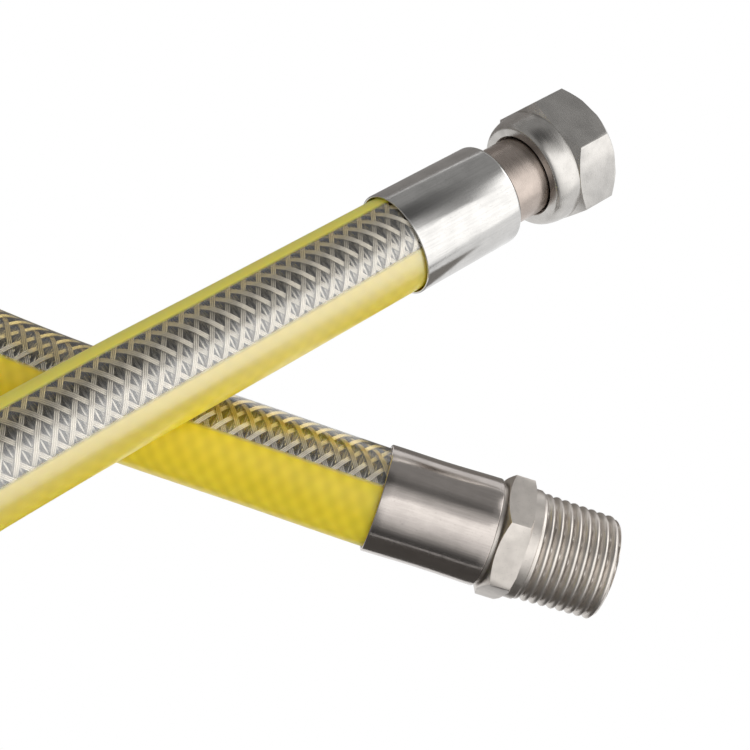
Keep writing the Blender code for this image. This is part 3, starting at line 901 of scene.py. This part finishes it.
class GASHOSE_OT_ferrules(bpy.types.Operator):
    """Turns the two crimped ferrules"""
    bl_idname = "gashose.ferrules"
    bl_label = "Ferrules"

    def execute(self, context):
        sizes = context.scene.gas_hose_fittings
        colours = context.scene.gas_hose_colours
        radius, wall = sizes.ferrule_diameter / 2, sizes.ferrule_wall
        lip = arc((radius - wall / 2, wall / 2), (wall / 2, wall / 2), -160, 0, 6)
        length, shoulder, clearance = sizes.nut_end_ferrule, 0.0014, 0.0003
        way = sizes.tail_diameter / 2 + clearance
        outside = lip + arc((way, length - shoulder), (radius - way, shoulder), 0, 86, 12)
        inside = arc((way, length - shoulder), (radius - wall - way, shoulder - wall), 84, 0, 12)
        piece = turned("nut_end_ferrule_steel", outside + inside + [(radius - wall, wall / 2)])
        place = nut_end()
        settle(piece, place)
        steel = drawn_steel(colours.ferrule, "nut_end_drawn_steel", axis_turn(place))
        ride(piece, "hose_assembly", "ferrule", steel, "nut_end_ferrule")

        # The crimp leaves a shallow waist and a slight taper
        length, waist, taper, steps = sizes.thread_end_ferrule, 0.00014, 0.0001, 12
        outside = list(lip)
        for i in range(1, steps):
            share = i / steps
            crimped = radius - waist * math.sin(math.pi * share) ** 2 + taper * share
            outside.append((crimped, length * share))
        outside += arc((radius + taper - wall / 2, length - wall / 2), (wall / 2, wall / 2), 0, 150, 6)
        inside = [(radius - wall, length - wall / 2), (radius - wall, wall / 2)]
        piece = turned("thread_end_ferrule_steel", outside + inside)
        place = thread_end()
        settle(piece, place)
        steel = drawn_steel(colours.warm_ferrule, "thread_end_drawn_steel", axis_turn(place))
        ride(piece, "hose_assembly", "ferrule", steel, "thread_end_ferrule")
        return {"FINISHED"}


class GASHOSE_OT_swivel_tail(bpy.types.Operator):
    """Turns the swivel tail with its spigot, collar and flange"""
    bl_idname = "gashose.swivel_tail"
    bl_label = "Swivel tail"

    def execute(self, context):
        sizes = context.scene.gas_hose_fittings
        spigot, bore = sizes.spigot_diameter / 2, sizes.gas_way / 2
        collar, tail, flange = (d / 2 for d in (sizes.collar_diameter, sizes.tail_diameter,
                                                sizes.flange_diameter))
        outlet, cone, ease = 0.0060, 0.0015, 0.0002
        profile = [(spigot - ease, SPIGOT_START), (spigot, SPIGOT_START + ease),
                   (spigot, NUT_END_COLLAR[0]), (collar - ease, NUT_END_COLLAR[0]),
                   (collar, NUT_END_COLLAR[0] + ease), (collar, NUT_END_COLLAR[1] - ease),
                   (collar - ease, NUT_END_COLLAR[1]), (tail, NUT_END_COLLAR[1]),
                   (tail, FLANGE_START), (flange - ease, FLANGE_START), (flange, FLANGE_START + ease),
                   (flange, FLANGE_END - ease), (flange - ease, FLANGE_END), (outlet, FLANGE_END),
                   (outlet, NUT_END_COLLAR[1] + cone), (bore, NUT_END_COLLAR[1]), (bore, SPIGOT_START)]
        piece = turned("swivel_tail_steel", profile)
        place = nut_end()
        settle(piece, place)
        steel = turned_steel(context.scene.gas_hose_colours.tail, "tail_turned_steel", axis_turn(place))
        ride(piece, "hose_assembly", "fitting", steel, "swivel_tail")
        return {"FINISHED"}


class GASHOSE_OT_union_nut(bpy.types.Operator):
    """Turns the union nut, threads it and cuts its flats"""
    bl_idname = "gashose.union_nut"
    bl_label = "Union nut"

    def execute(self, context):
        sizes = context.scene.gas_hose_fittings
        length, corner = sizes.nut_length, sizes.nut_across_flats / math.sqrt(3)
        collar, back, dome, rear_chamfer, front_chamfer = 0.01215, 0.0105, 0.0053, 0.0010, 0.0016
        minor, major, relief = INSIDE_THREAD_DIAMETER / 2, GAUGE_DIAMETER / 2, 0.0214 / 2
        back_wall, tail_way, undercut, entry, lead, ease = 0.0024, 0.0087, 0.0014, 0.0012, 0.0003, 0.0002
        start, end = WASHER_END - NUT_BACK + 0.0005, length - lead
        outside = [(back - ease, 0.0)]
        outside += list(reversed(arc((back, dome), (collar - back, -dome), 4, 84, 14)))
        outside += [(collar, dome), (corner, dome + rear_chamfer), (corner, length - front_chamfer),
                    (collar + lead, length)]
        bore = [(major + lead, length)]
        bore += [(minor, end - (end - start) * i / NUT_THREAD_RINGS) for i in range(NUT_THREAD_RINGS + 1)]
        bore += [(relief, start - undercut), (relief, back_wall), (tail_way, back_wall),
                 (tail_way, ease), (tail_way + ease, 0.0)]
        piece = turned("union_nut_steel", outside + bore)

        def bore_radius(height, full):
            opened = minor + (major + lead - minor) * max(0.0, (height - (length - entry)) / entry)
            return max(opened, minor + (major - minor) * (1 - full))

        cut_thread(piece, start, end, lambda r: r < minor + ease / 2, bore_radius, sizes.thread_pitch)
        hexagonal(piece, sizes.nut_across_flats, -BAR_SPARE, length + BAR_SPARE, NUT_TURN)
        place = nut_end() @ Matrix.Translation((0, 0, NUT_BACK))
        settle(piece, place)
        steel = turned_steel(context.scene.gas_hose_colours.fitting, "nut_turned_steel", axis_turn(place))
        ride(piece, "union_nut", "fitting", steel, "union_nut")
        return {"FINISHED"}


class GASHOSE_OT_washer(bpy.types.Operator):
    """Cuts the flat sealing washer"""
    bl_idname = "gashose.washer"
    bl_label = "Sealing washer"

    def execute(self, context):
        outer, hole, ease = 0.0095, 0.0060, 0.0001
        profile = [(outer - ease, WASHER_START), (outer, WASHER_START + ease), (outer, WASHER_END - ease),
                   (outer - ease, WASHER_END), (hole + ease, WASHER_END), (hole, WASHER_END - ease),
                   (hole, WASHER_START + ease), (hole + ease, WASHER_START)]
        piece = turned("sealing_washer_fibre", profile, WASHER_SEGMENTS)
        settle(piece, nut_end())
        ride(piece, "union_nut", "washer", pressed_fibre(context.scene.gas_hose_colours), "sealing_washer")
        return {"FINISHED"}


class GASHOSE_OT_threaded_nipple(bpy.types.Operator):
    """Turns the threaded end with its hexagon and cuts its taper thread"""
    bl_idname = "gashose.threaded_nipple"
    bl_label = "Threaded nipple"

    def execute(self, context):
        sizes = context.scene.gas_hose_fittings
        spigot, bore, collar = sizes.spigot_diameter / 2, sizes.gas_way / 2, sizes.collar_diameter / 2
        flat, corner = sizes.hexagon_across_flats / 2, sizes.hexagon_across_flats / math.sqrt(3)
        hex_end = HEX_START + sizes.hexagon_length
        thread_start = hex_end + NECK_LENGTH
        tip = thread_start + NIPPLE_THREAD_LENGTH
        neck, nipple_bore, cone = 0.01095, 0.0065, 0.0015
        chamfer, tip_chamfer, back_ease, ease, hair = 0.0011, 0.0007, 0.0003, 0.0002, 0.00001

        def crest(height):
            return (GAUGE_DIAMETER + (tip - GAUGE_LENGTH - height) * TAPER) / 2

        outside = [
            (spigot - ease, SPIGOT_START), (spigot, SPIGOT_START + ease), (spigot, THREAD_END_COLLAR_START),
            (collar - ease, THREAD_END_COLLAR_START), (collar, THREAD_END_COLLAR_START + ease),
            (collar, HEX_START), (flat - back_ease, HEX_START),
            (corner, HEX_START + chamfer), (corner, hex_end - chamfer / 2), (corner - chamfer, hex_end),
            (neck, hex_end + hair), (neck, thread_start - 2 * ease), (neck - ease, thread_start - ease)]
        outside += [(crest(thread_start), thread_start + (tip - thread_start) * i / NIPPLE_THREAD_RINGS)
                    for i in range(NIPPLE_THREAD_RINGS + 1)]
        inside = [(nipple_bore + ease, tip), (nipple_bore, tip - ease), (nipple_bore, hex_end),
                  (bore, hex_end - cone), (bore, SPIGOT_START)]
        piece = turned("threaded_nipple_steel", outside + inside)
        pitch, depth = sizes.thread_pitch, sizes.thread_depth

        def thread_radius(height, full):
            fade = min(1.0, max(0.0, 2 * (height - thread_start) / pitch))
            cap = crest(tip) - max(0.0, height - (tip - tip_chamfer))
            return min(cap if height > tip - tip_chamfer else crest(height),
                       crest(height) - depth * (1 - full) * fade)

        cut_thread(piece, thread_start, tip, lambda r: r > nipple_bore + 2 * ease, thread_radius, pitch)
        hexagonal(piece, sizes.hexagon_across_flats, SPIGOT_START - BAR_SPARE, tip + BAR_SPARE, NIPPLE_TURN)
        place = thread_end()
        settle(piece, place)
        steel = turned_steel(context.scene.gas_hose_colours.nipple, "nipple_turned_steel", axis_turn(place),
                             roughness=0.30)
        ride(piece, "hose_assembly", "fitting", steel, "threaded_nipple")
        return {"FINISHED"}


class GASHOSE_OT_stripped_ends(bpy.types.Operator):
    """Gives the stripped tube and braid inside the ferrules their finish"""
    bl_idname = "gashose.stripped_ends"
    bl_label = "Stripped ends"

    def execute(self, context):
        colours = context.scene.gas_hose_colours
        steel, wire = corrugated_steel(colours), braid_wire(colours)
        for end in ("nut_end", "thread_end"):
            for node, material in ((f"{end}_corrugated_tube", steel), (f"{end}_braid", wire)):
                slots = frame["nodes"][node].data.materials
                slots.clear()
                slots.append(material)
        return {"FINISHED"}


class GASHOSE_OT_stage(bpy.types.Operator):
    """Sets up the white floor, the grey cards, the surroundings and the camera"""
    bl_idname = "gashose.stage"
    bl_label = "Studio"

    def execute(self, context):
        scene = context.scene
        position, *axes = camera_place()
        camera = bpy.data.cameras.new("camera")
        camera.lens = CAMERA_LENS
        camera.sensor_width = CAMERA_SENSOR
        camera.clip_start = 0.01
        holder = bpy.data.objects.new("camera", camera)
        scene.collection.objects.link(holder)
        holder.matrix_world = Matrix.Translation(position) @ Matrix(axes).transposed().to_4x4()
        scene.camera = holder
        scene.view_settings.view_transform = "Standard"

        bpy.ops.object.select_all(action="DESELECT")
        bpy.ops.mesh.primitive_plane_add(size=FLOOR_SIZE, location=(0, 0, FLOOR_HEIGHT))
        floor = bpy.context.object
        floor.name = "floor"
        bpy.ops.object.transform_apply(location=True, rotation=True, scale=True)
        floor.data.materials.append(self.white_floor())

        for name, card in CARDS.items():
            self.grey_card(name, *card)
        scene.world = self.surroundings(scene.gas_hose_studio, axes)
        return {"FINISHED"}

    def grey_card(self, name, side, across, reach, grey):
        """A grey card beside a strand, which only shows as a reflection."""
        heading = side * STRAND_HALF_ANGLE
        along = Vector((math.cos(heading), math.sin(heading), 0))
        away = Vector((-math.sin(heading), math.cos(heading), 0)) * side
        middle = CROSSING + along * sum(reach) / 2 + away * sum(across) / 2
        bpy.ops.object.select_all(action="DESELECT")
        bpy.ops.mesh.primitive_plane_add(size=1.0, location=middle, rotation=(0, 0, heading))
        card = bpy.context.object
        card.scale = (reach[1] - reach[0], across[1] - across[0], 1.0)
        card.name = name
        bpy.ops.object.transform_apply(location=True, rotation=True, scale=True)
        finish = Finish(name)
        glow = finish.node("ShaderNodeEmission", None, {"Color": grey, "Strength": 1.0})
        card.data.materials.append(finish.finish(glow))
        card.visible_camera = card.visible_diffuse = card.visible_transmission = card.visible_shadow = False

    def surroundings(self, studio, camera_axes):
        """A dim studio with one large softbox and a few glows and darker parts, white for the camera."""
        light = Finish("studio", bpy.data.worlds, "ShaderNodeOutputWorld")
        direction = light.node("ShaderNodeTexCoord", output="Generated")

        def part(shares, limits):
            axis = sum((axis * share for axis, share in zip(camera_axes, shares)), Vector())
            return light.towards(direction, axis.normalized(), *limits)

        softbox = 1.0
        for shares, limits in SOFTBOX_EDGES:
            softbox = softbox * part(shares, limits)
        sky = studio.sky
        for shares, limits, taken in SHADES:
            sky = sky * (1 - part(shares, limits) * taken)
        for shares, limits, strength in GLOWS:
            sky = sky + part(shares, limits) * (1 - softbox) * (strength * studio.glow)
        level = softbox * studio.softbox + sky
        lit = light.node("ShaderNodeBackground", None, {"Color": (1.0, 0.995, 0.985), "Strength": level})
        white = light.node("ShaderNodeBackground", None, {"Color": WHITE, "Strength": 1.0})
        seen = light.node("ShaderNodeLightPath", output="Is Camera Ray")
        return light.finish(light.mix_shader(seen, lit, white))

    def white_floor(self):
        """White paper that lights the hose from below and is plain white where it is seen."""
        finish = Finish("white_floor")
        seen = (finish.node("ShaderNodeLightPath", output="Is Camera Ray")
                + finish.node("ShaderNodeLightPath", output="Is Glossy Ray")
                + finish.node("ShaderNodeLightPath", output="Is Transmission Ray"))
        paper = finish.principled(Base_Color=(0.94, 0.94, 0.94), Roughness=0.9)
        white = finish.node("ShaderNodeEmission", None, {"Color": WHITE, "Strength": 1.0})
        return finish.finish(finish.mix_shader(seen.ramp(0.0, 1.0), paper, white))


class GASHOSE_PT_panel(bpy.types.Panel):
    bl_idname = "GASHOSE_PT_panel"
    bl_label = "Flexible gas hose"
    bl_space_type = "VIEW_3D"
    bl_region_type = "UI"
    bl_category = "Gas hose"

    def draw(self, context):
        for operator in OPERATORS:
            self.layout.operator(operator.bl_idname)


OPERATORS = [
    GASHOSE_OT_sheath, GASHOSE_OT_corrugated_tube, GASHOSE_OT_braid, GASHOSE_OT_ferrules,
    GASHOSE_OT_swivel_tail, GASHOSE_OT_union_nut, GASHOSE_OT_washer, GASHOSE_OT_threaded_nipple,
    GASHOSE_OT_stripped_ends, GASHOSE_OT_stage,
]
GROUPS = {"gas_hose": HoseSizes, "gas_hose_fittings": FittingSizes, "gas_hose_colours": Colours,
          "gas_hose_studio": Studio}


def register():
    for group in GROUPS.values():
        bpy.utils.register_class(group)
    for name, group in GROUPS.items():
        setattr(bpy.types.Scene, name, bpy.props.PointerProperty(type=group))
    for operator in OPERATORS:
        bpy.utils.register_class(operator)
    bpy.utils.register_class(GASHOSE_PT_panel)


def unregister():
    bpy.utils.unregister_class(GASHOSE_PT_panel)
    for operator in reversed(OPERATORS):
        bpy.utils.unregister_class(operator)
    for name in GROUPS:
        delattr(bpy.types.Scene, name)
    for group in reversed(list(GROUPS.values())):
        bpy.utils.unregister_class(group)


def main():
    register()
    bpy.ops.gashose.sheath()
    bpy.ops.gashose.corrugated_tube()
    bpy.ops.gashose.braid()
    bpy.ops.gashose.ferrules()
    bpy.ops.gashose.swivel_tail()
    bpy.ops.gashose.union_nut()
    bpy.ops.gashose.washer()
    bpy.ops.gashose.threaded_nipple()
    bpy.ops.gashose.stripped_ends()
    bpy.ops.gashose.stage()
    line = HoseLine()
    inside = [bpy.data.objects["corrugated_tube"]]
    inside += [piece for piece in bpy.data.objects if piece.name.startswith("braid_")]
    tuple(nut_end().translation)


if __name__ == "__main__":
    main()
